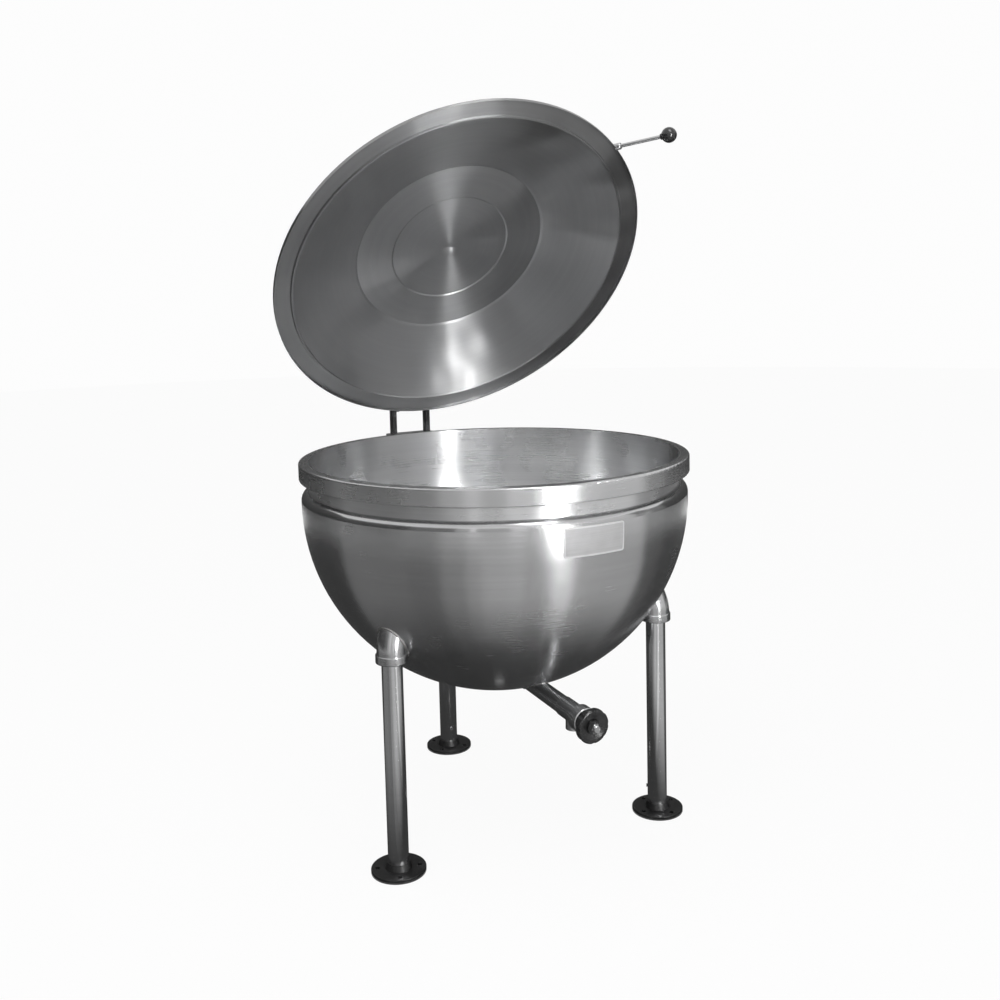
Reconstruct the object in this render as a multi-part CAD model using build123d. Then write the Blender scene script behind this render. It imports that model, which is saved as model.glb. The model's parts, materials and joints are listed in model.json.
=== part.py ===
"""Steam jacketed kettle: a hemispherical bowl in a full steam jacket on three pipe legs.

The hinged lid stands open. A tangent draw-off valve leaves the bottom towards the front.
Millimetres. The origin is on the floor, under the kettle's vertical axis.
+Z is up, the draw-off and the name plate face -Y, and the hinge is at +Y.
"""
from build123d import *
import os
from math import cos, radians, sin, sqrt

# ---------------------------------------------------------------- driving dimensions
# Bowl and steam jacket
BOWL_BORE_R = 457.2
BOWL_WALL = 3.2
BOWL_STRAIGHT = 94.4         # straight band between the round bottom and the rim
CROWN_H = 48.4               # height of the crown plate at the bottom of the bowl
PETAL_H = 32.0               # height of the petals round it, up to the foot of the zones
PETAL_AZIMUTHS = {"right": 0, "rear": 90, "left": 180, "front": 270}
STEAM_GAP = 14.2
JACKET_WALL = 3.2
JACKET_DROP = 8.0            # the jacket's centre lies this far below the bowl's
JACKET_RISE = 2.0            # the jacket's top above the bowl's centre
CLOSING_RING_H = 20.0
CLOSING_RING_LEDGE = 2.6

# Rim: a formed channel welded round the top of the bowl
RIM_TOP_Z = 914.4
RIM_WIDTH = 22.2
RIM_HEIGHT = 41.0
RIM_WALL = 3.2
RIM_CORNER_R = 5.0
RIM_FOOT_CORNER_R = 2.5

# Lid, drawn closed and then swung to its rest angle
LID_OVERHANG = 12.4
LID_WALL = 2.0
LID_LIP = 8.0
LID_SEAT_GAP = 0.3
LID_REST_ANGLE = 51.5
LID_FLANGE_W = 46.0          # from the lid's edge to the middle of its bead
LID_BEAD_W = 8.0
LID_BEAD_FLAT = 4.0
LID_BEAD_DEPTH = 4.0
FLANK_RUN = 187.0
DOME_RISE = 89.0
DOME_BULGE = 7.0             # how far the dome's flank stands above a straight cone
CROWN_STEP_W = 6.0
CROWN_STEP_H = 3.0
CROWN_RISE = 4.0
CROWN_RUN = 104.0
CENTRE_STEP_W = 4.0
CENTRE_STEP_H = 2.0
CENTRE_RISE = 3.0

# Hinge
HINGE_BEHIND_RIM = 66.4
HINGE_ABOVE_RIM = 70.0
PIN_R = 6.35
RUNNING_FIT = 0.05
PIN_HEAD_R = 10.0
PIN_HEAD_T = 4.0
SLEEVE_WALL = 3.1
SLEEVE_END_GAP = 0.5
POST_SPACING = 104.0
POST_T = 12.0
POST_DEPTH = 25.0
BRACKET_BELOW_RIM = 10.0
BRACKET_T = 8.0
BRACKET_MARGIN = 12.0        # plate left outside the posts, at the sides and the back
GUSSET_T = 8.0
GUSSET_NOSE = 5.0
GUSSET_FOOT_REACH = 6.0
ARM_T = 6.0
ARM_INSET = 5.0              # gap between an arm and the post beside it
ARM_EYE_R = 16.0
ARM_TOE_INSET = 185.0        # ends of an arm's foot, measured in from the lid's edge
ARM_TOE_H = 14.0
ARM_HEEL_INSET = 9.0

# Lid handle: a rod with a ball knob, clear of the lid's edge
HANDLE_AZIMUTH = -50.0
HANDLE_REACH = 117.0
HANDLE_DROP = 85.0
HANDLE_ROD_R = 4.75
BALL_R = 19.0
BALL_SOCKET_DEPTH = 12.0
BOSS_R = 8.5
BOSS_OUT = 15.0
BOSS_IN = 6.0
BOSS_SOCKET = 9.0

# Legs and feet
LEG_NAMES = ("rear", "front_left", "front_right")
LEG_TURN_ANGLE = -4.0        # the legs are turned this far from the line of hinge and draw-off
LEG_INSET = 81.8             # from the jacket's widest part in to a leg's axis
LEG_PIPE_R = 24.15
LEG_PIPE_WALL = 3.7
SOCKET_COLLAR_R = 37.0
SOCKET_COLLAR_H = 20.0
SOCKET_COLLAR_EDGE = 2.5
SOCKET_DROP = 51.65          # collar's foot below the jacket's surface over the leg
SOCKET_BODY_R = 34.0
SOCKET_BEND_R = 104.0
SOCKET_BEND_ANGLE = 62.0
SOCKET_DEPTH = 18.0
FOOT_FLANGE_R = 63.5
FOOT_FLANGE_T = 9.5
FOOT_EDGE_R = 2.0
FOOT_HUB_R = 31.0
FOOT_HUB_TOP_R = 26.0
FOOT_HUB_H = 14.0
FOOT_SPIGOT_H = 80.0
FOOT_SLIDE_GAP = 0.3
FOOT_BOLT_CIRCLE_R = 48.5
FOOT_BOLT_HOLE_R = 5.5
FOOT_BOLTS = 4
FOOT_BOLT_TURN = 45.0        # first hole, measured from the outward direction
SET_SCREW_R = 4.0
SET_SCREW_Z = 62.0
SET_SCREW_HEAD = 3.0
SET_SCREW_HEX_R = 2.3
SET_SCREW_HEX_DEPTH = 2.5

# Tangent draw-off and its valve
DRAW_SLOPE = 2.0
DRAW_ABOVE_BOTTOM = 23.9     # tube's axis above the bowl's lowest point
DRAW_TUBE_R = 21.1
DRAW_TUBE_WALL = 2.8
DRAW_REACH = 118.62          # tube left bare between the jacket and the valve body
VALVE_BODY_R = 23.0
SEAT_INSET = 8.0
SEAT_T = 6.0
SEAT_R = 15.0
CHAMBER_R = 18.8
PORT_R = 15.0
PORT_AFTER_PLUG = 1.0
PORT_BEFORE_END = 23.0
SPOUT_WALL = 3.5
SPOUT_LENGTH = 13.0
BONNET_SKIRT = 14.0
BONNET_R = 30.0
BONNET_T = 16.0
BONNET_EDGE = 2.0
GLAND_AF = 24.0
GLAND_T = 9.0
STEM_R = 6.35
SEAL_T = 3.0
PLUG_R = 17.0
PLUG_T = 9.0
KNOB_GAP = 2.0
KNOB_R = 39.0
KNOB_T = 22.0
KNOB_EDGE_R = 5.0
KNOB_HUB_R = 15.0
KNOB_DISH = 4.0
KNOB_FLUTES = 8
KNOB_FLUTE_R = 8.0
KNOB_FLUTE_DEPTH = 3.0
KNOB_NUT_AF = 19.0
KNOB_NUT_T = 8.0
STEM_IN_NUT = 5.0

# Pipe couplings on the hidden side
INLET_R = 17.5
INLET_THREAD_R = 12.1
INLET_THREAD_DEPTH = 20.0
INLET_PASSAGE_R = 10.3
INLET_AZIMUTH = 60.0
INLET_DROP = 162.0
CONDENSATE_R = 14.0
CONDENSATE_THREAD_R = 9.3
CONDENSATE_THREAD_DEPTH = 18.0
CONDENSATE_PASSAGE_R = 7.8
CONDENSATE_AZIMUTH = 60.0
CONDENSATE_CIRCLE_R = 120.0
COUPLING_PROUD = 30.0

# Name plate, left bare
PLATE_W = 150.0
PLATE_H = 66.0
PLATE_T = 1.5
PLATE_DROP = 34.0            # plate's middle below the jacket's top
PLATE_CORNER_R = 5.0
PLATE_BORDER = 4.0
PLATE_BORDER_DEPTH = 0.6

# ---------------------------------------------------------------- derived values
BOWL_R = BOWL_BORE_R + BOWL_WALL
BOWL_CENTRE_Z = RIM_TOP_Z - BOWL_STRAIGHT
JACKET_BORE_R = BOWL_R + STEAM_GAP
JACKET_R = JACKET_BORE_R + JACKET_WALL
JACKET_CENTRE_Z = BOWL_CENTRE_Z - JACKET_DROP
JACKET_TOP_Z = BOWL_CENTRE_Z + JACKET_RISE
CROWN_TOP_Z = BOWL_CENTRE_Z - BOWL_R + CROWN_H
ZONE_FOOT_Z = CROWN_TOP_Z + PETAL_H
PLATE_CENTRE_Z = JACKET_TOP_Z - PLATE_DROP
INLET_Z = JACKET_CENTRE_Z - INLET_DROP
RIM_R = BOWL_R + RIM_WIDTH
RIM_FOOT_Z = RIM_TOP_Z - RIM_HEIGHT
LID_R = RIM_R + LID_OVERHANG
LID_Z = RIM_TOP_Z + LID_SEAT_GAP
LID_BEAD_R = LID_R - LID_FLANGE_W
DOME_R = LID_BEAD_R - FLANK_RUN
CENTRE_R = DOME_R - CROWN_RUN
HINGE_Y = RIM_R + HINGE_BEHIND_RIM
HINGE_Z = RIM_TOP_Z + HINGE_ABOVE_RIM
HINGE_AXIS = Axis((0, HINGE_Y, HINGE_Z), (-1, 0, 0))
LEG_STEP = 360 / len(LEG_NAMES)
LEG_AZIMUTHS = {name: 90 + LEG_TURN_ANGLE + index * LEG_STEP for index, name in enumerate(LEG_NAMES)}
LEG_CIRCLE_R = JACKET_R - LEG_INSET
SOCKET_FOOT_Z = JACKET_CENTRE_Z - sqrt(JACKET_R**2 - LEG_CIRCLE_R**2) - SOCKET_DROP
DRAW_TUBE_BORE_R = DRAW_TUBE_R - DRAW_TUBE_WALL
DRAW_AXIS_Z = BOWL_CENTRE_Z - BOWL_R + DRAW_ABOVE_BOTTOM
# Stations of the draw-off: distances from the kettle's axis along the tube
VALVE_BODY_START = sqrt(JACKET_R**2 - (JACKET_CENTRE_Z - DRAW_AXIS_Z) ** 2) + DRAW_REACH
SEAT_START = VALVE_BODY_START + SEAT_INSET
SEAT_END = SEAT_START + SEAT_T
SEAL_END = SEAT_END + SEAL_T
PLUG_END = SEAL_END + PLUG_T
PORT_START = PLUG_END + PORT_AFTER_PLUG
VALVE_BODY_END = PORT_START + 2 * PORT_R + PORT_BEFORE_END
BONNET_END = VALVE_BODY_END + BONNET_T
KNOB_START = BONNET_END + GLAND_T + KNOB_GAP
KNOB_END = KNOB_START + KNOB_T
BIG = 2000.0                 # longer than the whole kettle: for tools that cut right through
DRAW = Plane(
    origin=(0, 0, DRAW_AXIS_Z),
    x_dir=(1, 0, 0),
    z_dir=(0, -cos(radians(DRAW_SLOPE)), -sin(radians(DRAW_SLOPE))),
)


# ---------------------------------------------------------------- helpers
def turned(outline):
    """Solid turned about Z from a closed outline of (radius, height) points."""
    return revolve(Plane.XZ * make_face(Polyline(*outline, close=True)), Axis.Z)


def rod(radius, start, end):
    """Cylinder on the Z axis between two heights."""
    return Pos(0, 0, start) * Cylinder(radius, end - start, align=(Align.CENTER, Align.CENTER, Align.MIN))


def ring(outer, inner, start, end):
    """Tube on the Z axis between two heights."""
    return rod(outer, start, end) - rod(inner, start, end)


def hexagon(across_flats, start, end):
    """Hexagonal bar on the Z axis between two heights."""
    face = RegularPolygon(across_flats / 2, 6, major_radius=False)
    return Pos(0, 0, start) * extrude(face, end - start)


def bowl_space(radius, centre_z, top_z):
    """Everything inside a hemisphere that runs up into a cylinder."""
    outline = make_face([
        CenterArc((0, centre_z), radius, 0, -90),
        Line((0, centre_z - radius), (0, top_z)),
        Line((0, top_z), (radius, top_z)),
        Line((radius, top_z), (radius, centre_z)),
    ])
    return revolve(Plane.XZ * outline, Axis.Z)


def below(z):
    """Everything under a height."""
    return Pos(0, 0, z) * Box(BIG, BIG, BIG, align=(Align.CENTER, Align.CENTER, Align.MAX))


def quadrant(azimuth):
    """Quarter of all space round the vertical axis, with an azimuth in its middle."""
    return Rot(0, 0, azimuth - 45) * Box(BIG, BIG, BIG, align=(Align.MIN, Align.MIN, Align.CENTER))


def sphere_r_at(radius, centre_z, z):
    """Radius of a sphere's horizontal section at height z."""
    return sqrt(radius**2 - (centre_z - z) ** 2)


def at_azimuth(azimuth, radius, z=0.0):
    """Frame at a place round the kettle, with its +X pointing outwards."""
    return Rot(0, 0, azimuth) * Pos(radius, 0, z)


def plate_yz(points, centre_x, thickness):
    """Flat plate across X, cut to an outline of (y, z) points."""
    face = make_face(Polyline(*points, close=True))
    return extrude(Plane.YZ.offset(centre_x - thickness / 2) * face, thickness)


def disc_yz(radius, y, z, centre_x, thickness):
    """Round plate across X."""
    return extrude(Plane.YZ.offset(centre_x - thickness / 2) * (Pos(y, z) * Circle(radius)), thickness)


def opened(shape):
    """Swing a piece of the closed lid to the lid's rest angle."""
    return shape.rotate(HINGE_AXIS, LID_REST_ANGLE)


# Filled forms that other pieces are trimmed to
BOWL_INSIDE = bowl_space(BOWL_BORE_R, BOWL_CENTRE_Z, RIM_TOP_Z)
BOWL_OUTSIDE = bowl_space(BOWL_R, BOWL_CENTRE_Z, RIM_TOP_Z)
JACKET_INSIDE = bowl_space(JACKET_BORE_R, JACKET_CENTRE_Z, JACKET_TOP_Z)
JACKET_OUTSIDE = bowl_space(JACKET_R, JACKET_CENTRE_Z, JACKET_TOP_Z)
DRAW_TUBE_SPACE = DRAW * rod(DRAW_TUBE_R, 0, VALVE_BODY_START)


# ---------------------------------------------------------------- bowl, rim and jacket
def make_bowl_pieces():
    """Crown plate, four petals, spherical zone and straight band, welded edge to edge."""
    shell = BOWL_OUTSIDE - BOWL_INSIDE - DRAW_TUBE_SPACE
    petal_band = (shell & below(ZONE_FOOT_Z)) - below(CROWN_TOP_Z)
    pieces = {
        "bowl_crown": shell & below(CROWN_TOP_Z),
        "bowl_zone": (shell & below(BOWL_CENTRE_Z)) - below(ZONE_FOOT_Z),
        "bowl_band": shell - below(BOWL_CENTRE_Z),
    }
    for name, azimuth in PETAL_AZIMUTHS.items():
        pieces[f"bowl_petal_{name}"] = petal_band & quadrant(azimuth)
    return pieces


def make_rim_ring():
    outer = Plane.XZ * Pos(BOWL_R, RIM_FOOT_Z) * Rectangle(
        RIM_WIDTH, RIM_HEIGHT, align=(Align.MIN, Align.MIN))
    hollow = Plane.XZ * Pos(BOWL_R, RIM_FOOT_Z + RIM_WALL) * Rectangle(
        RIM_WIDTH - RIM_WALL, RIM_HEIGHT - 2 * RIM_WALL, align=(Align.MIN, Align.MIN))
    corners = outer.vertices().group_by(Axis.X)[-1].sort_by(Axis.Z)
    outer = fillet(corners[-1], RIM_CORNER_R)
    corners = outer.vertices().group_by(Axis.X)[-1].sort_by(Axis.Z)
    outer = fillet(corners[0], RIM_FOOT_CORNER_R)
    return revolve(outer - hollow, Axis.Z)


def make_closing_ring():
    """Bar that closes the steam space between bowl and jacket, rounded into the neck."""
    top_z = JACKET_TOP_Z + CLOSING_RING_H
    ledge_r = BOWL_R + CLOSING_RING_LEDGE
    mid = ((JACKET_R + ledge_r) / 2 + CLOSING_RING_LEDGE, JACKET_TOP_Z + CLOSING_RING_H * 2 / 3)
    outline = make_face([
        Line((BOWL_R, JACKET_TOP_Z), (JACKET_R, JACKET_TOP_Z)),
        ThreePointArc((JACKET_R, JACKET_TOP_Z), mid, (ledge_r, top_z)),
        Line((ledge_r, top_z), (BOWL_R, top_z)),
        Line((BOWL_R, top_z), (BOWL_R, JACKET_TOP_Z)),
    ])
    return revolve(Plane.XZ * outline, Axis.Z)


def inlet_frame():
    """Frame of the steam inlet: +Z points outwards along the coupling."""
    return Rot(0, 0, INLET_AZIMUTH) * Pos(0, 0, INLET_Z) * Rot(0, 90, 0)


def inlet_mouth():
    return sphere_r_at(JACKET_R, JACKET_CENTRE_Z, INLET_Z) + COUPLING_PROUD


def condensate_frame():
    """Frame of the condensate outlet: +Z points down."""
    return Rot(0, 0, CONDENSATE_AZIMUTH) * Pos(CONDENSATE_CIRCLE_R, 0, JACKET_CENTRE_Z) * Rot(180, 0, 0)


def condensate_mouth():
    return sphere_r_at(JACKET_R, 0, CONDENSATE_CIRCLE_R) + COUPLING_PROUD


def coupling(outer, thread, thread_depth, passage, mouth):
    """Pipe coupling along Z with a threaded socket in its mouth and a narrower passage behind."""
    return ring(outer, passage, 0, mouth) - rod(thread, mouth - thread_depth, mouth)


def make_inlet_coupling():
    piece = coupling(INLET_R, INLET_THREAD_R, INLET_THREAD_DEPTH, INLET_PASSAGE_R, inlet_mouth())
    return inlet_frame() * piece - JACKET_INSIDE


def make_condensate_coupling():
    piece = coupling(
        CONDENSATE_R, CONDENSATE_THREAD_R, CONDENSATE_THREAD_DEPTH, CONDENSATE_PASSAGE_R, condensate_mouth())
    return condensate_frame() * piece - JACKET_INSIDE


def make_jacket_pieces():
    """Bottom crown and spherical zone of the jacket, holed for its connections."""
    shell = JACKET_OUTSIDE - JACKET_INSIDE
    inlet_hole = inlet_frame() * rod(INLET_R, 0, inlet_mouth())
    condensate_hole = condensate_frame() * rod(CONDENSATE_R, 0, condensate_mouth())
    return {
        "jacket_crown": (shell & below(ZONE_FOOT_Z)) - DRAW_TUBE_SPACE - condensate_hole,
        "jacket_zone": shell - below(ZONE_FOOT_Z) - inlet_hole,
    }


def make_name_plate():
    """Bare plate with a raised border, curved to the jacket it is fixed to."""
    def skin(thickness):
        return bowl_space(JACKET_R + thickness, JACKET_CENTRE_Z, JACKET_TOP_Z) - JACKET_OUTSIDE

    def window(margin):
        face = RectangleRounded(PLATE_W - 2 * margin, PLATE_H - 2 * margin, PLATE_CORNER_R)
        return extrude(Plane.XZ * Pos(0, PLATE_CENTRE_Z) * face, BIG)

    plate = skin(PLATE_T) & window(0)
    field = (skin(PLATE_T) - skin(PLATE_T - PLATE_BORDER_DEPTH)) & window(PLATE_BORDER)
    return plate - field


# ---------------------------------------------------------------- lid
def lid_line(lift):
    """Section of the lid from its flange to the centre, raised by lift."""
    flange_z = LID_Z + lift
    bead_out = LID_BEAD_R + LID_BEAD_W / 2
    bead_in = LID_BEAD_R - LID_BEAD_W / 2
    dome_z = flange_z + DOME_RISE
    crown_z = dome_z + CROWN_STEP_H
    centre_z = crown_z + CROWN_RISE
    flank_mid = ((bead_in + DOME_R) / 2, flange_z + DOME_RISE / 2 + DOME_BULGE)
    return [
        Polyline(
            (bead_out, flange_z),
            (LID_BEAD_R + LID_BEAD_FLAT / 2, flange_z - LID_BEAD_DEPTH),
            (LID_BEAD_R - LID_BEAD_FLAT / 2, flange_z - LID_BEAD_DEPTH),
            (bead_in, flange_z),
        ),
        ThreePointArc((bead_in, flange_z), flank_mid, (DOME_R, dome_z)),
        Polyline(
            (DOME_R, dome_z),
            (DOME_R - CROWN_STEP_W, crown_z),
            (CENTRE_R + CENTRE_STEP_W, centre_z),
            (CENTRE_R, centre_z + CENTRE_STEP_H),
            (0, centre_z + CENTRE_STEP_H + CENTRE_RISE),
        ),
    ]


def lid_axis_z(lift):
    return LID_Z + lift + DOME_RISE + CROWN_STEP_H + CROWN_RISE + CENTRE_STEP_H + CENTRE_RISE


def make_lid_shell():
    bead_out = LID_BEAD_R + LID_BEAD_W / 2
    inner_r = LID_R - LID_WALL
    rim = Polyline(
        (bead_out, LID_Z),
        (inner_r, LID_Z),
        (inner_r, LID_Z - LID_LIP),
        (LID_R, LID_Z - LID_LIP),
        (LID_R, LID_Z + LID_WALL),
        (bead_out, LID_Z + LID_WALL),
    )
    axis = Line((0, lid_axis_z(0)), (0, lid_axis_z(LID_WALL)))
    outline = make_face([*lid_line(0), axis, *lid_line(LID_WALL), rim])
    return revolve(Plane.XZ * outline, Axis.Z)


def lid_space():
    """Everything under the lid's outer surface, down to the bottom of its lip."""
    bead_out = LID_BEAD_R + LID_BEAD_W / 2
    base_z = LID_Z - LID_LIP
    sides = Polyline(
        (0, lid_axis_z(LID_WALL)),
        (0, base_z),
        (LID_R, base_z),
        (LID_R, LID_Z + LID_WALL),
        (bead_out, LID_Z + LID_WALL),
    )
    outline = make_face([*lid_line(LID_WALL), sides])
    return revolve(Plane.XZ * outline, Axis.Z)


def make_hinge_arm(side):
    centre_x = side * (POST_SPACING / 2 - POST_T / 2 - ARM_INSET - ARM_T / 2)
    toe_y = LID_R - ARM_TOE_INSET
    toe_z = LID_Z + LID_WALL + (DOME_RISE + DOME_BULGE) * (LID_BEAD_R - toe_y) / FLANK_RUN
    blade = plate_yz([
        (HINGE_Y, HINGE_Z + ARM_EYE_R),
        (toe_y, toe_z + ARM_TOE_H),
        (toe_y, RIM_TOP_Z),
        (LID_R - ARM_HEEL_INSET, RIM_TOP_Z),
        (HINGE_Y, HINGE_Z - ARM_EYE_R),
    ], centre_x, ARM_T)
    eye = disc_yz(ARM_EYE_R, HINGE_Y, HINGE_Z, centre_x, ARM_T)
    bore = disc_yz(PIN_R + RUNNING_FIT + SLEEVE_WALL, HINGE_Y, HINGE_Z, centre_x, 2 * ARM_T)
    return blade + eye - bore - lid_space()


def pin_line(radius, half_length):
    """Cylinder along the hinge axis, centred on the kettle."""
    return disc_yz(radius, HINGE_Y, HINGE_Z, 0, 2 * half_length)


def make_hinge_sleeve():
    half = POST_SPACING / 2 - POST_T / 2 - SLEEVE_END_GAP
    return pin_line(PIN_R + RUNNING_FIT + SLEEVE_WALL, half) - pin_line(PIN_R + RUNNING_FIT, half)


def handle_frame():
    """Frame at the lid's edge, with +Z along the handle's rod."""
    tilt = Vector(HANDLE_REACH, 0, -HANDLE_DROP)
    edge = Plane(origin=(LID_R, 0, LID_Z), x_dir=(0, 1, 0), z_dir=tilt)
    return Rot(0, 0, HANDLE_AZIMUTH) * edge.location, tilt.length


def make_handle():
    frame, reach = handle_frame()
    bar = rod(HANDLE_ROD_R, BOSS_OUT - BOSS_SOCKET, reach - BALL_R + BALL_SOCKET_DEPTH)
    boss = fillet(rod(BOSS_R, -BOSS_IN, BOSS_OUT).edges().group_by(Axis.Z)[-1], BOSS_R / 4)
    ball = Pos(0, 0, reach) * Sphere(BALL_R)
    collar = rod(HANDLE_ROD_R * 1.6, reach - BALL_R - HANDLE_ROD_R / 2, reach)
    boss = frame * (boss - bar) - lid_space()
    return {
        "handle_rod": frame * bar,
        "handle_boss": boss,
        "handle_ball": frame * (ball + collar - bar),
    }


# ---------------------------------------------------------------- hinge bracket on the rim
def make_hinge_bracket():
    top_z = RIM_TOP_Z - BRACKET_BELOW_RIM
    half_w = POST_SPACING / 2 + POST_T / 2 + BRACKET_MARGIN
    back_y = HINGE_Y + POST_DEPTH / 2 + BRACKET_MARGIN
    depth = back_y - BOWL_BORE_R
    plate = Pos(0, BOWL_BORE_R, top_z) * Box(
        2 * half_w, depth, BRACKET_T, align=(Align.CENTER, Align.MIN, Align.MAX))
    plate = fillet(plate.edges().filter_by(Axis.Z).group_by(Axis.Y)[-1], BRACKET_MARGIN)
    under_z = top_z - BRACKET_T
    for side in (-1, 1):
        plate += plate_yz([
            (BOWL_BORE_R, under_z),
            (HINGE_Y + POST_DEPTH / 2, under_z),
            (HINGE_Y + POST_DEPTH / 2, under_z - GUSSET_NOSE),
            (RIM_R + GUSSET_FOOT_REACH, RIM_FOOT_Z),
            (BOWL_BORE_R, RIM_FOOT_Z),
        ], side * POST_SPACING / 2, GUSSET_T)
    return plate - rod(RIM_R, 0, BIG)


def make_hinge_post(side):
    foot_z = RIM_TOP_Z - BRACKET_BELOW_RIM
    centre_x = side * POST_SPACING / 2
    half = POST_DEPTH / 2
    blade = plate_yz([
        (HINGE_Y - half, foot_z),
        (HINGE_Y + half, foot_z),
        (HINGE_Y + half, HINGE_Z),
        (HINGE_Y - half, HINGE_Z),
    ], centre_x, POST_T)
    head = disc_yz(half, HINGE_Y, HINGE_Z, centre_x, POST_T)
    return blade + head - pin_line(PIN_R, POST_SPACING)


def make_hinge_pin():
    face_x = POST_SPACING / 2 + POST_T / 2
    pin = pin_line(PIN_R, face_x)
    for side in (-1, 1):
        head = disc_yz(PIN_HEAD_R, HINGE_Y, HINGE_Z, side * (face_x + PIN_HEAD_T / 2), PIN_HEAD_T)
        rim = head.edges().group_by(Axis.X)[-1 if side > 0 else 0]
        pin += fillet(rim, PIN_HEAD_T / 3)
    return pin


# ---------------------------------------------------------------- legs and feet
def foot_shoulder_z():
    return FOOT_FLANGE_T + FOOT_HUB_H


def make_leg_socket(azimuth):
    """Curved stub with a collar for the leg, trimmed to the jacket it is welded to."""
    collar_top = SOCKET_FOOT_Z + SOCKET_COLLAR_H
    collar = rod(SOCKET_COLLAR_R, SOCKET_FOOT_Z, collar_top)
    collar = fillet(collar.edges().filter_by(GeomType.CIRCLE), SOCKET_COLLAR_EDGE)
    bend = Axis((-SOCKET_BEND_R, 0, collar_top), (0, -1, 0))
    body = revolve(Pos(0, 0, collar_top) * Circle(SOCKET_BODY_R), bend, SOCKET_BEND_ANGLE)
    bore = rod(LEG_PIPE_R, SOCKET_FOOT_Z, SOCKET_FOOT_Z + SOCKET_DEPTH)
    overlap = rod(SOCKET_BODY_R, SOCKET_FOOT_Z + SOCKET_COLLAR_EDGE, collar_top)
    stub = at_azimuth(azimuth, LEG_CIRCLE_R) * (collar + overlap + body - bore)
    return stub - JACKET_OUTSIDE


def make_leg_tube(azimuth):
    pipe = ring(LEG_PIPE_R, LEG_PIPE_R - LEG_PIPE_WALL, foot_shoulder_z(), SOCKET_FOOT_Z + SOCKET_DEPTH)
    screw_hole = Pos(0, 0, SET_SCREW_Z) * Rot(0, -90, 0) * rod(SET_SCREW_R, 0, 2 * LEG_PIPE_R)
    return at_azimuth(azimuth, LEG_CIRCLE_R) * (pipe - screw_hole) - JACKET_OUTSIDE


def make_set_screws():
    """One cup-point screw in each leg, on the side towards the kettle's axis."""
    tip = LEG_PIPE_R - LEG_PIPE_WALL
    head = LEG_PIPE_R + SET_SCREW_HEAD
    key = hexagon(2 * SET_SCREW_HEX_R, head - SET_SCREW_HEX_DEPTH, head)
    screw = rod(SET_SCREW_R, tip, head) - key
    placed = Pos(0, 0, SET_SCREW_Z) * Rot(0, -90, 0) * screw
    return Compound(children=[at_azimuth(a, LEG_CIRCLE_R) * placed for a in LEG_AZIMUTHS.values()])


def make_foot(azimuth):
    """Flanged foot whose spigot slides in the leg for levelling."""
    spigot_r = LEG_PIPE_R - LEG_PIPE_WALL - FOOT_SLIDE_GAP
    shoulder_z = foot_shoulder_z()
    flange = rod(FOOT_FLANGE_R, 0, FOOT_FLANGE_T)
    flange = fillet(flange.edges().group_by(Axis.Z)[-1], FOOT_EDGE_R)
    hub = turned([
        (0, FOOT_FLANGE_T / 2),
        (FOOT_HUB_R, FOOT_FLANGE_T / 2),
        (FOOT_HUB_R, FOOT_FLANGE_T),
        (FOOT_HUB_TOP_R, shoulder_z),
        (spigot_r, shoulder_z),
        (spigot_r, shoulder_z + FOOT_SPIGOT_H),
        (0, shoulder_z + FOOT_SPIGOT_H),
    ])
    foot = flange + hub
    for index in range(FOOT_BOLTS):
        turn = FOOT_BOLT_TURN + index * 360 / FOOT_BOLTS
        foot -= Rot(0, 0, turn) * Pos(FOOT_BOLT_CIRCLE_R, 0, 0) * rod(FOOT_BOLT_HOLE_R, 0, FOOT_FLANGE_T)
    return at_azimuth(azimuth, LEG_CIRCLE_R) * foot


# ---------------------------------------------------------------- draw-off valve
def make_draw_off_tube():
    tube = DRAW * ring(DRAW_TUBE_R, DRAW_TUBE_BORE_R, 0, VALVE_BODY_START)
    return (tube - BOWL_INSIDE).solids().sort_by(SortBy.VOLUME)[-1]


def make_valve_body():
    """Turned body with a raised seat, a chamber and a short spout that points down."""
    body = turned([
        (DRAW_TUBE_BORE_R, VALVE_BODY_START),
        (VALVE_BODY_R, VALVE_BODY_START),
        (VALVE_BODY_R, VALVE_BODY_END),
        (CHAMBER_R, VALVE_BODY_END),
        (CHAMBER_R, SEAT_END),
        (SEAT_R, SEAT_END),
        (SEAT_R, SEAT_START),
        (DRAW_TUBE_BORE_R, SEAT_START),
    ])
    port_at = Pos(0, 0, PORT_START + PORT_R) * Rot(90, 0, 0)
    length = VALVE_BODY_R + SPOUT_LENGTH
    spout = port_at * rod(PORT_R + SPOUT_WALL, 0, length)
    spout -= rod(CHAMBER_R, SEAT_START, VALVE_BODY_END)
    port = port_at * rod(PORT_R, 0, length)
    return DRAW * (body + spout - port)


def make_bonnet():
    start = VALVE_BODY_END - BONNET_SKIRT
    cap = rod(BONNET_R, start, BONNET_END)
    cap = chamfer(cap.edges().filter_by(GeomType.CIRCLE), BONNET_EDGE)
    cap -= rod(VALVE_BODY_R, start, VALVE_BODY_END)
    return DRAW * (cap - rod(STEM_R + RUNNING_FIT, start, BONNET_END))


def make_gland_nut():
    nut = hexagon(GLAND_AF, BONNET_END, BONNET_END + GLAND_T)
    return DRAW * (nut - rod(STEM_R + RUNNING_FIT, BONNET_END, BONNET_END + GLAND_T))


def make_stem_pieces():
    seal = rod(PLUG_R, SEAT_END, SEAL_END)
    plug = turned([
        (0, SEAL_END),
        (PLUG_R, SEAL_END),
        (PLUG_R, SEAL_END + PLUG_T / 2),
        (STEM_R, PLUG_END),
        (0, PLUG_END),
    ])
    stem = rod(STEM_R, PLUG_END, KNOB_END + STEM_IN_NUT)
    return {"valve_seal": DRAW * seal, "valve_plug": DRAW * plug, "valve_stem": DRAW * stem}


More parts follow.
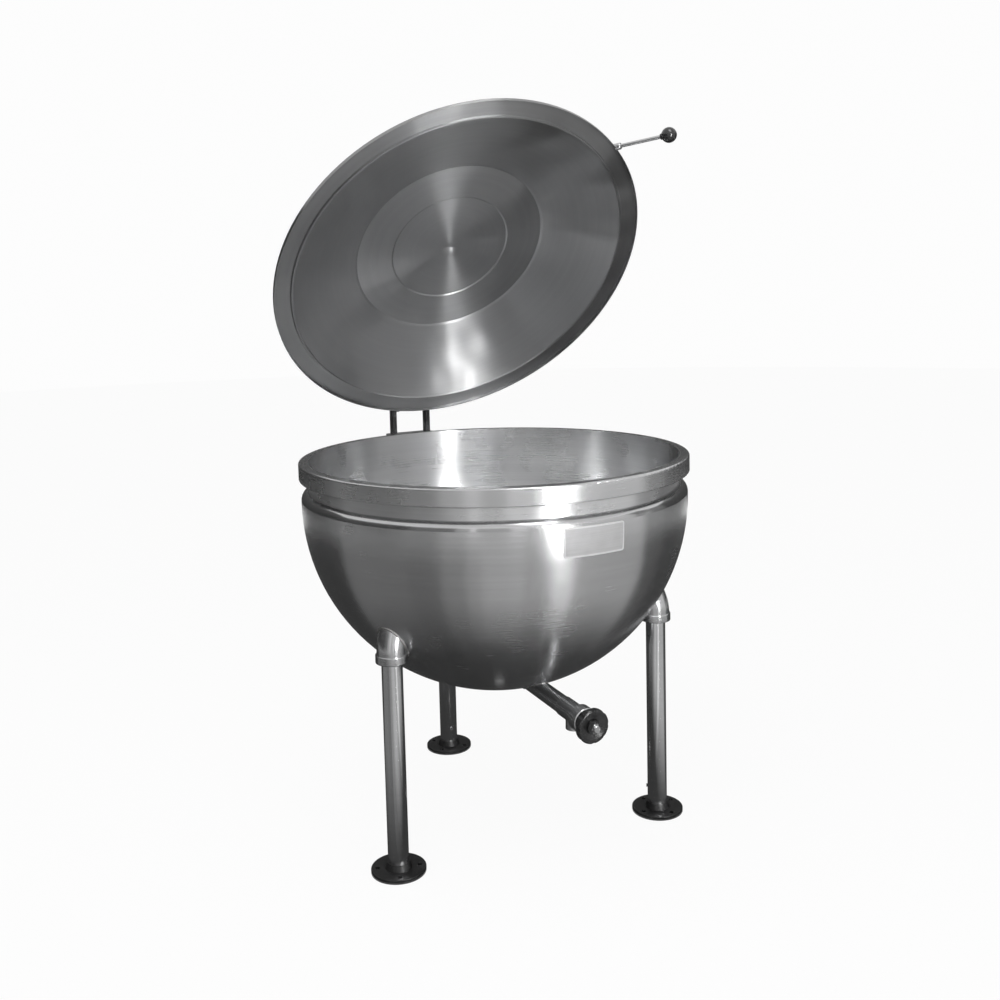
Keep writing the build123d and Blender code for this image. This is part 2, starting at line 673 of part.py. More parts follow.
def make_knob():
    """Fluted hand knob with a dished face, and the cap nut that holds it."""
    disc = turned([
        (0, KNOB_START),
        (KNOB_HUB_R, KNOB_START),
        (KNOB_HUB_R, KNOB_START + KNOB_DISH),
        (KNOB_R, KNOB_START + KNOB_DISH),
        (KNOB_R, KNOB_END),
        (KNOB_R - KNOB_EDGE_R * 2, KNOB_END),
        (KNOB_HUB_R, KNOB_END - KNOB_DISH),
        (KNOB_HUB_R, KNOB_END),
        (0, KNOB_END),
    ])
    edge = disc.edges().filter_by(GeomType.CIRCLE).group_by(SortBy.RADIUS)[-1]
    disc = fillet(edge, KNOB_EDGE_R)
    for index in range(KNOB_FLUTES):
        place = Rot(0, 0, index * 360 / KNOB_FLUTES) * Pos(KNOB_R + KNOB_FLUTE_R - KNOB_FLUTE_DEPTH, 0, 0)
        disc -= place * rod(KNOB_FLUTE_R, KNOB_START, KNOB_END)
    stem_hole = rod(STEM_R + RUNNING_FIT, KNOB_START, KNOB_END + STEM_IN_NUT)
    nut = hexagon(KNOB_NUT_AF, KNOB_END, KNOB_END + KNOB_NUT_T)
    dome = Pos(0, 0, KNOB_END + KNOB_NUT_T) * Sphere(KNOB_NUT_AF / 2) & rod(
        KNOB_NUT_AF, KNOB_END, KNOB_END + KNOB_NUT_T + KNOB_NUT_AF / 3)
    return {
        "valve_knob": DRAW * (disc - stem_hole),
        "knob_nut": DRAW * (nut + dome - stem_hole),
    }


# ---------------------------------------------------------------- the assembly
def make_all():
    nodes = {
        **make_bowl_pieces(),
        **make_jacket_pieces(),
        "rim_ring": make_rim_ring(),
        "closing_ring": make_closing_ring(),
        "name_plate": make_name_plate(),
        "steam_inlet_coupling": make_inlet_coupling(),
        "condensate_coupling": make_condensate_coupling(),
        "hinge_bracket": make_hinge_bracket(),
        "hinge_post_left": make_hinge_post(-1),
        "hinge_post_right": make_hinge_post(1),
        "hinge_pin": make_hinge_pin(),
        "lid_shell": opened(make_lid_shell()),
        "hinge_arm_left": opened(make_hinge_arm(-1)),
        "hinge_arm_right": opened(make_hinge_arm(1)),
        "hinge_sleeve": opened(make_hinge_sleeve()),
        "leg_set_screws": make_set_screws(),
        "draw_off_tube": make_draw_off_tube(),
        "valve_body": make_valve_body(),
        "valve_bonnet": make_bonnet(),
        "gland_nut": make_gland_nut(),
    }
    for name, piece in make_handle().items():
        nodes[name] = opened(piece)
    for name, azimuth in LEG_AZIMUTHS.items():
        nodes[f"leg_socket_{name}"] = make_leg_socket(azimuth)
        nodes[f"leg_tube_{name}"] = make_leg_tube(azimuth)
        nodes[f"foot_{name}"] = make_foot(azimuth)
    nodes.update(make_stem_pieces())
    nodes.update(make_knob())
    return nodes


os.makedirs("parts", exist_ok=True)
for node_name, node in make_all().items():
    export_step(node, f"parts/{node_name}.step")
    print(node_name, "volume", round(node.volume), "mm3")
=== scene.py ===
import json
import math

import bpy
from mathutils import Matrix, Vector


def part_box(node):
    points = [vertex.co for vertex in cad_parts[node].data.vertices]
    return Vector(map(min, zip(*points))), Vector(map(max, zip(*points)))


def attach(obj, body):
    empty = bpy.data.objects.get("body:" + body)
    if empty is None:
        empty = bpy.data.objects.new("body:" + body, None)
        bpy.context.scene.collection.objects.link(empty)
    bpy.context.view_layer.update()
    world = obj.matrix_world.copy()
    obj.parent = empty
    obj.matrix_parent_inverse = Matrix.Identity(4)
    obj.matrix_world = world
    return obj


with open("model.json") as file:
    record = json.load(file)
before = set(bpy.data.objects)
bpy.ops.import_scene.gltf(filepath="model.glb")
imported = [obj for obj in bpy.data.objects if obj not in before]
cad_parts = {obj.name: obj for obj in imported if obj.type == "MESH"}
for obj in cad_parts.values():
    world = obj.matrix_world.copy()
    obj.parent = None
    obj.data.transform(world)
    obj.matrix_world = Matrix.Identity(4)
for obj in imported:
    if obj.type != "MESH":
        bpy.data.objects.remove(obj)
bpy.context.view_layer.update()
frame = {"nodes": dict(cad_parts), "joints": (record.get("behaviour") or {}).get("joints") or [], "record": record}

NODES = frame["nodes"]
RECORD = frame["record"]
JOINTS = {joint["name"]: joint for joint in frame["joints"]}
MOUNTS = {mount["name"]: mount for mount in RECORD["mounts"]}

# sizes in metres, as in the CAD
ORIGIN = Vector((0, 0, 0))
X_AXIS = Vector((1, 0, 0))
Z_AXIS = Vector((0, 0, 1))
JACKET_R = 0.4778            # outside of the jacket's sphere
JACKET_CENTRE = Vector((0, 0, 0.812))
ON_JACKET = 4e-5             # how near to the sphere a socket's point counts as on it
BOWL_R = 0.4604              # outside of the bowl's band
RIM_FOOT_Z = 0.8734          # where the rim meets the band
LID_CENTRE_CLOSED = Vector((0, 0, 1.015))
PLATE_BORDER = 0.004
BORDER_BLEND = 0.0008        # over which the plate's border turns into its field
DRAW_TUBE_R = 0.0211
DRAW_EXIT = Vector((0, -0.2, 0.38))    # near where the draw-off tube leaves the jacket
VALVE_BODY_AT = 0.330        # from the draw-off's root, along the tube
VALVE_WELD_R = 0.0214
INLET_R = 0.0175
CONDENSATE_R = 0.014
LEGS = ("rear", "front_left", "front_right")
LEG_FOOT = {name: Vector(MOUNTS[f"foot_face_{name}"]["pos_m"]) for name in LEGS}
HINGE_POINT = Vector(JOINTS["lid_hinge"]["pos_m"])
LID_REST = math.radians(-JOINTS["lid_hinge"]["range_deg"][0])
LID_SWING = (Matrix.Translation(HINGE_POINT) @ Matrix.Rotation(-LID_REST, 4, "X")
             @ Matrix.Translation(-HINGE_POINT))
LID_CENTRE = LID_SWING @ LID_CENTRE_CLOSED
LID_AXIS = (LID_SWING.to_3x3() @ Z_AXIS).normalized()
DRAW_AXIS = Vector(JOINTS["valve_stem_slide"]["axis"]).normalized()
DRAW_ROOT = Vector((0, 0, 0.3835))


# ---------------------------------------------------------------- node graph helpers
class Graph:
    """Thin wrapper round a material's or world's nodes."""

    def __init__(self, owner):
        owner.use_nodes = True
        self.tree = owner.node_tree
        self.tree.nodes.clear()

    def node(self, kind, inputs=(), **settings):
        made = self.tree.nodes.new(kind)
        for key, value in settings.items():
            setattr(made, key, value)
        for key, value in dict(inputs).items():
            self.feed(made.inputs[key], value)
        return made

    def feed(self, socket, value):
        if isinstance(value, bpy.types.NodeSocket):
            self.tree.links.new(value, socket)
        else:
            socket.default_value = value

    def math(self, operation, a, b=0.0):
        made = self.node("ShaderNodeMath", {0: a, 1: b}, operation=operation)
        return made.outputs[0]

    def vector(self, operation, a, b=None, scale=None):
        inputs = {0: a}
        if b is not None:
            inputs[1] = b
        made = self.node("ShaderNodeVectorMath", inputs, operation=operation)
        if scale is not None:
            self.feed(made.inputs["Scale"], scale)
        return made.outputs["Value" if operation in ("DOT_PRODUCT", "LENGTH") else "Vector"]

    def xyz(self, x, y, z):
        return self.node("ShaderNodeCombineXYZ", {0: x, 1: y, 2: z}).outputs[0]

    def place(self):
        return self.node("ShaderNodeTexCoord").outputs["Object"]

    def noise(self, vector, scale, detail=3.0, rough=0.5):
        inputs = {"Vector": vector, "Scale": scale, "Detail": detail, "Roughness": rough}
        return self.node("ShaderNodeTexNoise", inputs).outputs[0]

    def span(self, value, low, high, out_low, out_high):
        inputs = {0: value, 1: low, 2: high, 3: out_low, 4: out_high}
        return self.node("ShaderNodeMapRange", inputs).outputs[0]

    def bump(self, height, strength, distance, normal=None):
        inputs = {"Height": height, "Strength": strength, "Distance": distance}
        if normal is not None:
            inputs["Normal"] = normal
        return self.node("ShaderNodeBump", inputs).outputs[0]

    def shade(self, colour, value):
        """A colour multiplied by a varying value."""
        channels = {i: self.math("MULTIPLY", value, colour[i]) for i in range(3)}
        return self.node("ShaderNodeCombineColor", channels).outputs[0]

    def surface(self, shader):
        out = self.node("ShaderNodeOutputMaterial")
        self.tree.links.new(shader, out.inputs["Surface"])


def steel(name, centre, axis, grey=0.62, rough=0.30, grain=420.0, aniso=0.7, smudge=0.06, wave=0.0):
    """Brushed stainless steel with its grain round an axis; wave is how far the sheet is from even."""
    material = bpy.data.materials.new(name)
    g = Graph(material)
    offset = g.vector("SUBTRACT", g.place(), tuple(centre))
    height = g.vector("DOT_PRODUCT", offset, tuple(axis))
    radial = g.vector("SUBTRACT", offset, g.vector("SCALE", tuple(axis), scale=height))
    radius = g.vector("LENGTH", radial)
    across = tuple(axis.orthogonal().normalized())
    wander = g.vector("DOT_PRODUCT", offset, across)
    lines = g.xyz(g.math("MULTIPLY", radius, grain), g.math("MULTIPLY", height, grain),
                  g.math("MULTIPLY", wander, 1.6))
    fine = g.noise(lines, 1.0, detail=5.0, rough=0.65)
    coarse = g.noise(lines, 0.16, detail=2.0)
    patch = g.noise(offset, 3.2, detail=1.0)
    marks = g.noise(offset, 16.0, detail=1.0)
    value = g.math("ADD", g.span(fine, 0.25, 0.75, -0.035, 0.035),
                   g.span(coarse, 0.3, 0.7, -0.02, 0.02))
    value = g.math("ADD", value, g.span(patch, 0.3, 0.7, 1 - smudge, 1 + smudge * 0.6))
    tint = (grey, grey * 1.004, grey * 1.012)
    roughness = g.math("ADD", g.span(fine, 0.2, 0.8, rough - 0.02, rough + 0.02),
                       g.span(g.math("MULTIPLY", patch, marks), 0.15, 0.4, -0.02, 0.02))
    normal = g.bump(g.noise(offset, 5.5, detail=1.0, rough=0.4), wave, 0.02) if wave else None
    cross = g.vector("CROSS_PRODUCT", tuple(axis), radial)
    tangent = g.node("ShaderNodeVectorTransform", {0: cross}, vector_type="VECTOR",
                     convert_from="OBJECT", convert_to="WORLD").outputs[0]
    shader = g.node("ShaderNodeBsdfPrincipled", {
        "Base Color": g.shade(tint, value),
        "Metallic": 1.0,
        "Roughness": roughness,
        "Anisotropic": aniso,
        "Anisotropic Rotation": 0.25,
        "Tangent": tangent,
        "Normal": g.bump(fine, 0.05, 0.0002, normal),
    })
    g.surface(shader.outputs[0])
    return material


def weld_metal():
    """Dull, rippled bead with heat marks."""
    material = bpy.data.materials.new("weld_bead")
    g = Graph(material)
    place = g.place()
    ripple = g.noise(place, 420.0, detail=3.0)
    patch = g.noise(place, 60.0)
    value = g.math("MULTIPLY", g.span(ripple, 0.3, 0.7, 0.75, 1.15),
                   g.span(patch, 0.3, 0.7, 0.8, 1.1))
    shader = g.node("ShaderNodeBsdfPrincipled", {
        "Base Color": g.shade((0.46, 0.455, 0.45), value),
        "Metallic": 1.0,
        "Roughness": g.span(patch, 0.3, 0.7, 0.34, 0.5),
        "Normal": g.bump(ripple, 0.4, 0.0006),
    })
    g.surface(shader.outputs[0])
    return material


def black_part(name, grey, rough, bump_scale, bump_strength, coat=0.0, wear=0.0):
    """Black moulded or enamelled part with uneven gloss and worn edges."""
    material = bpy.data.materials.new(name)
    g = Graph(material)
    place = g.place()
    skin = g.noise(place, bump_scale, detail=4.0)
    patch = g.noise(place, 28.0, detail=3.0)
    value = g.span(patch, 0.3, 0.7, 0.75, 1.35)
    if wear:
        edge = g.node("ShaderNodeNewGeometry").outputs["Pointiness"]
        rubbed = g.math("MULTIPLY", g.span(edge, 0.52, 0.60, 0.0, wear),
                        g.span(patch, 0.45, 0.65, 0.0, 1.0))
        value = g.math("ADD", value, rubbed)
    shader = g.node("ShaderNodeBsdfPrincipled", {
        "Base Color": g.shade((grey, grey, grey * 1.03), value),
        "Roughness": g.span(patch, 0.3, 0.7, rough - 0.05, rough + 0.08),
        "Coat Weight": coat,
        "Coat Roughness": 0.12,
        "Normal": g.bump(skin, bump_strength, 0.0006),
    })
    g.surface(shader.outputs[0])
    return material


def plate_metal():
    """Bare etched aluminium: a matt field inside a bright border."""
    material = bpy.data.materials.new("name_plate_metal")
    g = Graph(material)
    place = g.place()
    lo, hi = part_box("name_plate")
    middle, half = (lo + hi) / 2, (hi - lo) / 2
    from_middle = g.vector("ABSOLUTE", g.vector("SUBTRACT", place, tuple(middle)))
    parts = g.node("ShaderNodeSeparateXYZ", {0: from_middle}).outputs
    inside = []
    for axis, i in (("X", 0), ("Z", 2)):
        edge = half[i] - PLATE_BORDER
        inside.append(g.span(parts[axis], edge, edge + BORDER_BLEND, 1.0, 0.0))
    field = g.math("MINIMUM", *inside)
    stretch = g.vector("MULTIPLY", place, (14.0, 14.0, 900.0))
    fine = g.noise(stretch, 1.0, detail=4.0)
    patch = g.noise(place, 40.0)
    value = g.math("MULTIPLY", g.span(fine, 0.3, 0.7, 0.93, 1.05),
                   g.span(patch, 0.3, 0.7, 0.95, 1.03))
    value = g.math("MULTIPLY", value, g.span(field, 0.0, 1.0, 1.15, 0.80))
    shader = g.node("ShaderNodeBsdfPrincipled", {
        "Base Color": g.shade((0.62, 0.62, 0.625), value),
        "Metallic": 0.15,
        "Roughness": g.span(fine, 0.3, 0.7, 0.38, 0.5),
        "Normal": g.bump(fine, 0.08, 0.0003),
    })
    g.surface(shader.outputs[0])
    return material


def seal_rubber():
    """Pale, matt seal of the valve plug."""
    material = bpy.data.materials.new("seal_rubber")
    g = Graph(material)
    patch = g.noise(g.place(), 120.0, detail=4.0)
    shader = g.node("ShaderNodeBsdfPrincipled", {
        "Base Color": g.shade((0.72, 0.71, 0.68), g.span(patch, 0.3, 0.7, 0.85, 1.05)),
        "Roughness": g.span(patch, 0.3, 0.7, 0.5, 0.65),
        "Normal": g.bump(patch, 0.15, 0.0004),
    })
    g.surface(shader.outputs[0])
    return material


# ---------------------------------------------------------------- finishes of the CAD pieces
def paint(material, *nodes):
    for name in nodes:
        mesh = NODES[name].data
        mesh.materials.clear()
        mesh.materials.append(material)


BOWL_NODES = tuple(name for name in NODES if name.startswith("bowl_"))
STEELS = (
    # name, centre and axis of the grain, nodes, look
    ("jacket_steel", ORIGIN, Z_AXIS, ("jacket_crown", "jacket_zone"),
     dict(grey=0.64, rough=0.25, aniso=0.72, wave=0.10)),
    ("neck_steel", ORIGIN, Z_AXIS, ("closing_ring",), dict(grey=0.62, rough=0.20, aniso=0.4, wave=0.9)),
    ("rim_steel", ORIGIN, Z_AXIS, ("rim_ring",), dict(grey=0.66, rough=0.27, aniso=0.6)),
    # painted light: the bowl's steel is given a lighter grey than the jacket's, so its inside stays bright between
    # its reflections
    ("bowl_steel", ORIGIN, Z_AXIS, BOWL_NODES,
     dict(grey=0.76, rough=0.29, aniso=0.8, smudge=0.04, wave=0.28)),
    # painted shade: the lid's steel is given a far darker grey than the same steel of the bowl and jacket
    ("lid_steel", LID_CENTRE, LID_AXIS, ("lid_shell",),
     dict(grey=0.38, rough=0.35, aniso=0.92, grain=520.0, wave=0.7)),
    ("handle_steel", LID_CENTRE, LID_AXIS, ("handle_rod", "handle_boss"),
     dict(grey=0.62, rough=0.3, aniso=0.0, grain=60.0)),
    ("draw_off_steel", DRAW_ROOT, DRAW_AXIS,
     ("draw_off_tube", "valve_body", "valve_bonnet", "gland_nut", "valve_stem", "valve_plug", "knob_nut"),
     dict(grey=0.64, rough=0.24, aniso=0.4)),
    ("hinge_steel", HINGE_POINT, X_AXIS,
     ("hinge_bracket", "hinge_pin", "hinge_sleeve", "hinge_arm_left", "hinge_arm_right"),
     dict(grey=0.58, rough=0.3, aniso=0.2)),
)
for name, centre, axis, nodes, look in STEELS:
    paint(steel(name, centre, axis, **look), *nodes)

for node, mount in (("steam_inlet_coupling", "steam_inlet"), ("condensate_coupling", "condensate_outlet")):
    low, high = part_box(node)
    axis = Vector(MOUNTS[mount]["axis"])
    paint(steel(f"{node}_steel", (low + high) / 2, axis, grey=0.52, rough=0.34, aniso=0.3), node)

for leg in LEGS:
    foot = LEG_FOOT[leg]
    # painted light: the leg tubes' steel is given a lighter grey than the other steel
    paint(steel(f"leg_steel_{leg}", foot, Z_AXIS, grey=0.86, rough=0.16, aniso=0.3, grain=700.0),
          f"leg_tube_{leg}")
    paint(steel(f"socket_steel_{leg}", foot, Z_AXIS, grey=0.66, rough=0.24, aniso=0.2, smudge=0.16),
          f"leg_socket_{leg}")

BLACK_PARTS = (
    # name, grey, roughness, scale and strength of the skin's bump, more settings, nodes
    ("foot_iron", 0.010, 0.42, 260.0, 0.5, dict(coat=0.12, wear=2.0), tuple(f"foot_{leg}" for leg in LEGS)),
    ("post_black", 0.020, 0.38, 300.0, 0.25, dict(wear=4.0), ("hinge_post_left", "hinge_post_right")),
    ("screw_black", 0.05, 0.32, 500.0, 0.2, dict(wear=4.0), ("leg_set_screws",)),
    ("ball_black", 0.014, 0.16, 180.0, 0.06, dict(coat=0.6), ("handle_ball",)),
    ("knob_black", 0.014, 0.26, 220.0, 0.12, dict(coat=0.3, wear=1.5), ("valve_knob",)),
)
for name, grey, rough, bump_scale, bump_strength, more, nodes in BLACK_PARTS:
    paint(black_part(name, grey, rough, bump_scale, bump_strength, **more), *nodes)

paint(plate_metal(), "name_plate")
paint(seal_rubber(), "valve_seal")
WELD = weld_metal()


# ---------------------------------------------------------------- welds
def ring_tube(name, points, radii, material, body, sides=8):
    """Round bead along a closed line of points, with one radius for each point."""
    count = len(points)
    vertices, faces = [], []
    middle = sum(points, Vector()) / count
    for i, point in enumerate(points):
        along = (points[(i + 1) % count] - points[i - 1]).normalized()
        out = point - middle
        out = (out - along * out.dot(along)).normalized()
        side = along.cross(out)
        for k in range(sides):
            turn = 2 * math.pi * k / sides
            vertices.append(point + (out * math.cos(turn) + side * math.sin(turn)) * radii[i])
    for i in range(count):
        here, ahead = i * sides, (i + 1) % count * sides
        for k in range(sides):
            beside = (k + 1) % sides
            faces.append((here + k, here + beside, ahead + beside, ahead + k))
    mesh = bpy.data.meshes.new(name)
    mesh.from_pydata(vertices, [], faces)
    mesh.polygons.foreach_set("use_smooth", [True] * len(mesh.polygons))
    mesh.materials.append(material)
    made = bpy.data.objects.new(name, mesh)
    bpy.context.scene.collection.objects.link(made)
    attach(made, body)
    return made


def resampled(points, step):
    """Evenly spaced points along a closed line."""
    ring = points + [points[0]]
    lengths = [(b - a).length for a, b in zip(ring, ring[1:])]
    total = sum(lengths)
    count = max(12, round(total / step))
    made, index, passed = [], 0, 0.0
    for i in range(count):
        want = total * i / count
        while passed + lengths[index] < want:
            passed += lengths[index]
            index += 1
        share = (want - passed) / max(lengths[index], 1e-9)
        made.append(ring[index].lerp(ring[index + 1], share))
    return made


def bead(name, points, radius, body, step=0.0012, pitch=0.0042):
    """Weld bead with the ripples of the welder's passes."""
    line = resampled(points, step)
    radii = [radius * (1 + 0.16 * math.sin(2 * math.pi * i * step / pitch) + 0.05 * math.sin(i * 0.37))
             for i in range(len(line))]
    return ring_tube(name, line, radii, WELD, body)


def circle(centre, axis, radius, count=180):
    """Points round an axis."""
    u = axis.orthogonal().normalized()
    v = axis.cross(u)
    return [centre + (u * math.cos(t) + v * math.sin(t)) * radius
            for t in (2 * math.pi * i / count for i in range(count))]


def sphere_seam(axis_point, axis, pipe_radius, near):
    """Where a pipe meets the outside of the jacket, at the end nearest to a point."""
    line = []
    for point in circle(axis_point, axis, pipe_radius, 120):
        offset = point - JACKET_CENTRE
        half = offset.dot(axis)
        root = math.sqrt(half * half - offset.length_squared + JACKET_R ** 2)
        hits = [point + axis * (-half + s * root) for s in (-1, 1)]
        line.append(min(hits, key=lambda hit: (hit - near).length))
    return line


def socket_seam(leg):
    """Edge of the leg socket that lies on the jacket: the longest loop between faces on and off it."""
    mesh = NODES[f"leg_socket_{leg}"].data
    on_jacket = {v.index for v in mesh.vertices
                 if abs((v.co - JACKET_CENTRE).length - JACKET_R) < ON_JACKET}

    def spot(i):
        """Place of a vertex in whole hundredths of a millimetre, so that doubled vertices match."""
        return tuple(round(c * 1e5) for c in mesh.vertices[i].co)

    uses = {}
    for face in mesh.polygons:
        inside = all(i in on_jacket for i in face.vertices)
        for a, b in face.edge_keys:
            if a in on_jacket and b in on_jacket:
                ends = spot(a), spot(b)
                uses.setdefault(frozenset(ends), [*ends, set()])[2].add(inside)
    links = {}
    for a, b, kinds in uses.values():
        if len(kinds) == 2 and a != b:
            links.setdefault(a, []).append(b)
            links.setdefault(b, []).append(a)
    loops = []
    while links:
        start = next(iter(links))
        loop, here = [start], start
        while links.get(here):
            ahead = links[here].pop()
            links[ahead].remove(here)
            loop.append(ahead)
            here = ahead
        for key in [k for k, v in links.items() if not v]:
            del links[key]
        loops.append(loop)
    longest = max(loops, key=len)
    return [Vector(p) * 1e-5 for p in longest[:-1]]


bead("weld_draw_off", sphere_seam(DRAW_ROOT, DRAW_AXIS, DRAW_TUBE_R, DRAW_EXIT), 0.0024,
     "root")
for name, mount, radius in (("weld_steam_inlet", "steam_inlet", INLET_R),
                            ("weld_condensate", "condensate_outlet", CONDENSATE_R)):
    mouth, axis = Vector(MOUNTS[mount]["pos_m"]), Vector(MOUNTS[mount]["axis"]).normalized()
    bead(name, sphere_seam(mouth, axis, radius, mouth), 0.0022, "root")
for leg in LEGS:
    bead(f"weld_socket_{leg}", socket_seam(leg), 0.0030, "root")
bead("weld_rim_foot", circle(Vector((0, 0, RIM_FOOT_Z)), Z_AXIS, BOWL_R + 0.0006, 360), 0.0022,
     "root", step=0.004, pitch=0.02)
bead("weld_valve_body", circle(DRAW_ROOT + DRAW_AXIS * VALVE_BODY_AT, DRAW_AXIS, VALVE_WELD_R), 0.0016,
     "root")


# ---------------------------------------------------------------- stage: floor, room, light and camera
WALL_AT = 4.2                # distances from the kettle's axis
WALL_TOP = 2.9
CEILING_AT = 4.4
CEILING_Z = 3.6
SOFT_BOX_Z = 3.5             # the ceiling's soft box hangs under the ceiling card
FLOOR_CARD_REACH = (0.02, 3.4)
FLOOR_CARD_Z = 0.004
PAINTED_FLOOR_SHADE_REACH = (0.42, 1.00)    # painted shade in the floor's reflection lightens between these distances


def disc(name, radius, z, material, count=96):
    mesh = bpy.data.meshes.new(name)
    turns = [2 * math.pi * i / count for i in range(count)]
    ring = [(radius * math.cos(turn), radius * math.sin(turn), z) for turn in turns]
    mesh.from_pydata(ring, [], [tuple(range(count))])
    mesh.materials.append(material)
    made = bpy.data.objects.new(name, mesh)
    bpy.context.scene.collection.objects.link(made)
    return made


def seen_mask(g):
    """1 for rays that show the background: from the camera, off metal, or through glass."""
    path = g.node("ShaderNodeLightPath").outputs
    seen = g.math("MAXIMUM", path["Is Camera Ray"], path["Is Glossy Ray"])
    return g.math("MAXIMUM", seen, path["Is Transmission Ray"])


def floor_material():
    """Nearly white where it is seen, and lit as a pale floor where it lights the kettle."""
    material = bpy.data.materials.new("pale_floor")
    g = Graph(material)
    lit = g.node("ShaderNodeBsdfDiffuse", {"Color": (0.90, 0.90, 0.90, 1)}).outputs[0]
    glow = g.node("ShaderNodeEmission", {"Color": (1, 1, 1, 1), "Strength": 1.0}).outputs[0]
    share = g.math("MULTIPLY", seen_mask(g), 0.93)
    g.surface(g.node("ShaderNodeMixShader", {0: share, 1: lit, 2: glow}).outputs[0])
    return material


disc("floor", 14.0, -0.0005, floor_material())

world = bpy.data.worlds.new("studio")
bpy.context.scene.world = world
g = Graph(world)
level = g.span(seen_mask(g), 0.0, 1.0, 0.55, 0.98)
background = g.node("ShaderNodeBackground", {"Color": (1, 1, 1, 1), "Strength": level}).outputs[0]
g.tree.links.new(background, g.node("ShaderNodeOutputWorld").inputs["Surface"])


def card(name, corners, levels, vertical=True):
    """Grey card that only metal sees, as a studio's flags and walls; it shades from one level to another, upwards
    or else outwards from the kettle, which on the floor cards is painted shade by the kettle."""
    mesh = bpy.data.meshes.new(name)
    mesh.from_pydata(corners, [], [tuple(range(len(corners)))])
    material = bpy.data.materials.new(name)
    g = Graph(material)
    place = g.place()
    if vertical:
        run = g.node("ShaderNodeSeparateXYZ", {0: place}).outputs["Z"]
        low, high = min(c[2] for c in corners), max(c[2] for c in corners)
    else:
        run = g.vector("LENGTH", place)
        # painted shade in the floor's reflection, darkest by the kettle
        low, high = PAINTED_FLOOR_SHADE_REACH
    value = g.span(run, low, high, levels[0], levels[1])
    g.surface(g.node("ShaderNodeEmission", {"Color": (1, 1, 1, 1), "Strength": value}).outputs[0])
    mesh.materials.append(material)
    made = bpy.data.objects.new(name, mesh)
    bpy.context.scene.collection.objects.link(made)
    for way in ("camera", "diffuse", "transmission", "volume_scatter", "shadow"):
        setattr(made, f"visible_{way}", False)
    return made


def round_at(azimuth, distance, z):
    """Point of the room; azimuth 0 is in front of the kettle and 90 on its right."""
    a = math.radians(azimuth)
    return Vector((distance * math.sin(a), -distance * math.cos(a), z))


def wall(name, start, end, low, high, levels, distance=WALL_AT):
    return card(name, [round_at(start, distance, low), round_at(end, distance, low),
                       round_at(end, distance, high), round_at(start, distance, high)], levels)


def painted_floor_reflection(name, start, end, level):
    """Painted reflection of the floor in front of one wall, which only metal sees: painted shade, dark by the
    kettle, and as light as its wall farther out.
    """
    steps = max(1, round((end - start) / 7.5))
    turns = [start + (end - start) * i / steps for i in range(steps + 1)]
    near = [round_at(turn, FLOOR_CARD_REACH[0], FLOOR_CARD_Z) for turn in turns]
    far = [round_at(turn, FLOOR_CARD_REACH[1], FLOOR_CARD_Z) for turn in reversed(turns)]
    # painted shade: the reflected floor is near black by the kettle
    return card(name, near + far, (0.04, level), vertical=False)


card("ceiling_card", [tuple(round_at(i * 30, CEILING_AT, CEILING_Z)) for i in range(12)],
     (0.76, 0.76), vertical=False)
card("ceiling_soft_box",
     [(x, y, SOFT_BOX_Z) for x, y in ((-0.3, -2.6), (0.5, -2.6), (0.5, -0.6), (-0.3, -0.6))],
     (5.0, 5.0), vertical=False)
WALLS = (
    # start, end, grey of the floor's painted reflection farther out, grey low down, grey high up
    (-75, -56, 0.16, 0.14, 0.20),
    (-56, -42, 0.26, 0.44, 0.54),
    (-42, -34, 0.36, 0.80, 0.95),
    (-34, -20, 0.46, 0.42, 0.52),
    (-20, -12, 0.48, 0.86, 1.00),
    (-12, 2, 0.38, 0.52, 0.62),
    (2, 14, 0.80, 1.90, 2.30),
    (14, 62, 0.42, 0.64, 0.76),
    (62, 80, 0.10, 0.18, 0.26),
    (80, 120, 0.06, 0.05, 0.10),
    (120, 180, 0.05, 0.06, 0.12),
    (180, 240, 0.05, 0.04, 0.10),
    (240, 285, 0.18, 0.05, 0.12),
)
for index, (start, end, painted_floor_grey, low_grey, high_grey) in enumerate(WALLS):
    wall(f"wall_{index}", start, end, 0.0, WALL_TOP, (low_grey, high_grey))
    painted_floor_reflection(f"painted_floor_reflection_{index}", start, end, painted_floor_grey)
# narrow soft box in front of the kettle, which the steel shows as its bright streak
wall("side_soft_box", 2.7, 9.3, 0.2, 2.2, (20.0, 24.0), distance=3.0)


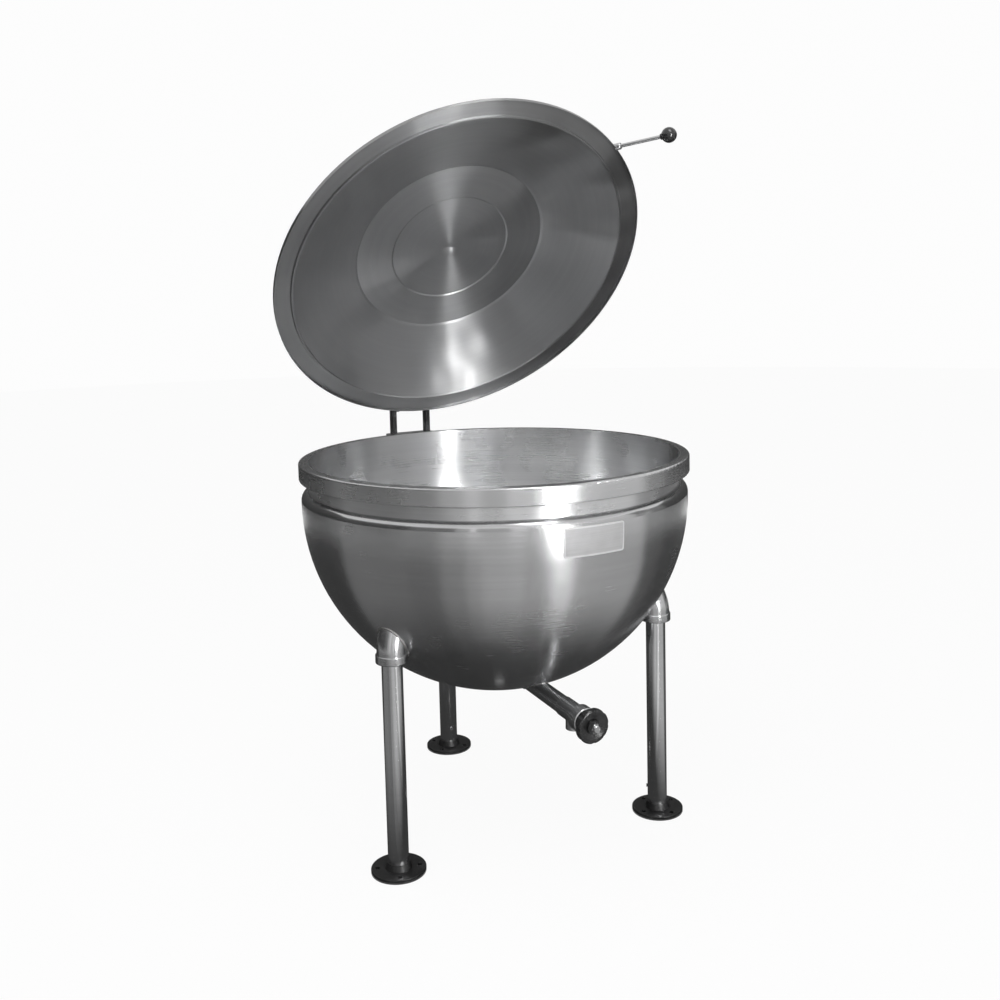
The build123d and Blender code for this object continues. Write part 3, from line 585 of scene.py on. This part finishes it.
def lamp(name, azimuth, distance, z, width, height, power, aim=Vector((0, 0, 0.8))):
    """Rectangular lamp that metal doesn't show; the cards make the reflections."""
    data = bpy.data.lights.new(name, "AREA")
    data.shape, data.size, data.size_y, data.energy = "RECTANGLE", width, height, power
    made = bpy.data.objects.new(name, data)
    made.location = round_at(azimuth, distance, z)
    made.rotation_mode = "QUATERNION"
    made.rotation_quaternion = (aim - made.location).to_track_quat("-Z", "Y")
    made.visible_camera = False
    made.visible_glossy = False
    bpy.context.scene.collection.objects.link(made)


lamp("key", -38, 3.4, 1.6, 0.7, 2.0, 16)
lamp("side", 6, 3.0, 1.2, 0.35, 2.0, 10)
lamp("top", -60, 1.2, 3.4, 2.0, 2.0, 30, Vector((0, 0, 0.9)))


PICTURE = 1000               # side of the square picture in pixels


def place_camera(azimuth, distance, height, yaw, pitch, focal, centre_y, roll):
    """Camera from its place round the kettle and its turns in degrees; focal length and eye level
    are in pixels of the picture."""
    a, turn, tip, bank = (math.radians(v) for v in (azimuth, azimuth + yaw, pitch, roll))
    ahead = Vector((-math.sin(turn) * math.cos(tip), math.cos(turn) * math.cos(tip), -math.sin(tip)))
    right = Vector((math.cos(turn), math.sin(turn), 0))
    up = right.cross(ahead)
    right, up = right * math.cos(bank) + up * math.sin(bank), up * math.cos(bank) - right * math.sin(bank)
    data = bpy.data.cameras.new("camera")
    data.sensor_width = 36.0
    data.lens = focal * data.sensor_width / PICTURE
    data.shift_y = (centre_y - PICTURE / 2) / PICTURE
    data.dof.use_dof = False
    made = bpy.data.objects.new("camera", data)
    turned = Matrix((right, up, -ahead)).transposed().to_4x4()
    turned.translation = Vector((distance * math.sin(a), -distance * math.cos(a), height))
    made.matrix_world = turned
    bpy.context.scene.collection.objects.link(made)
    bpy.context.scene.camera = made


place_camera(azimuth=-26.42, distance=2.7474, height=1.3418, yaw=-0.396, pitch=5.612,
             focal=1110.0, centre_y=390.0, roll=-1.36)
bpy.context.scene.view_settings.view_transform = "Standard"
